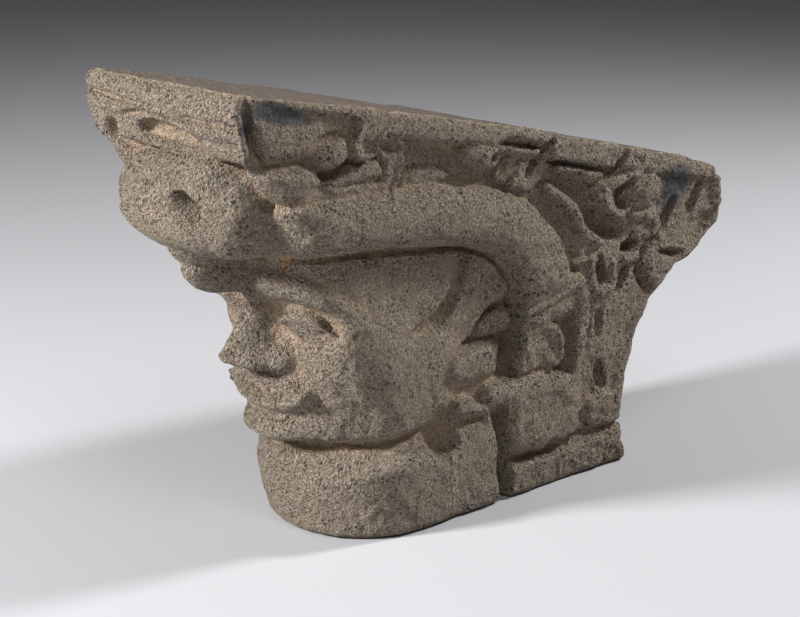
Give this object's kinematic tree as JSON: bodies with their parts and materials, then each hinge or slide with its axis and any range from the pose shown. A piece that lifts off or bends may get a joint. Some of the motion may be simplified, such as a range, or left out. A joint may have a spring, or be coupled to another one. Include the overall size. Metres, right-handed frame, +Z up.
{
  "type": "stone hacha",
  "caption": "Carved stone hacha: a head looking out of a helmet's jaws under a flat sloping top, on a flat foot.",
  "frame": {"origin": "on the ground under the middle of the stone's box, at the flat foot", "axes": "+Z up, the head looks along -Y, its left side is +X"},
  "size_m": [0.1228, 0.323, 0.2191],
  "materials": {
    "volcanic_stone": "rough pitted, worn"
  },
  "bodies": {
    "root": {"carved_stone": "volcanic_stone"}
  },
  "joints": []
}
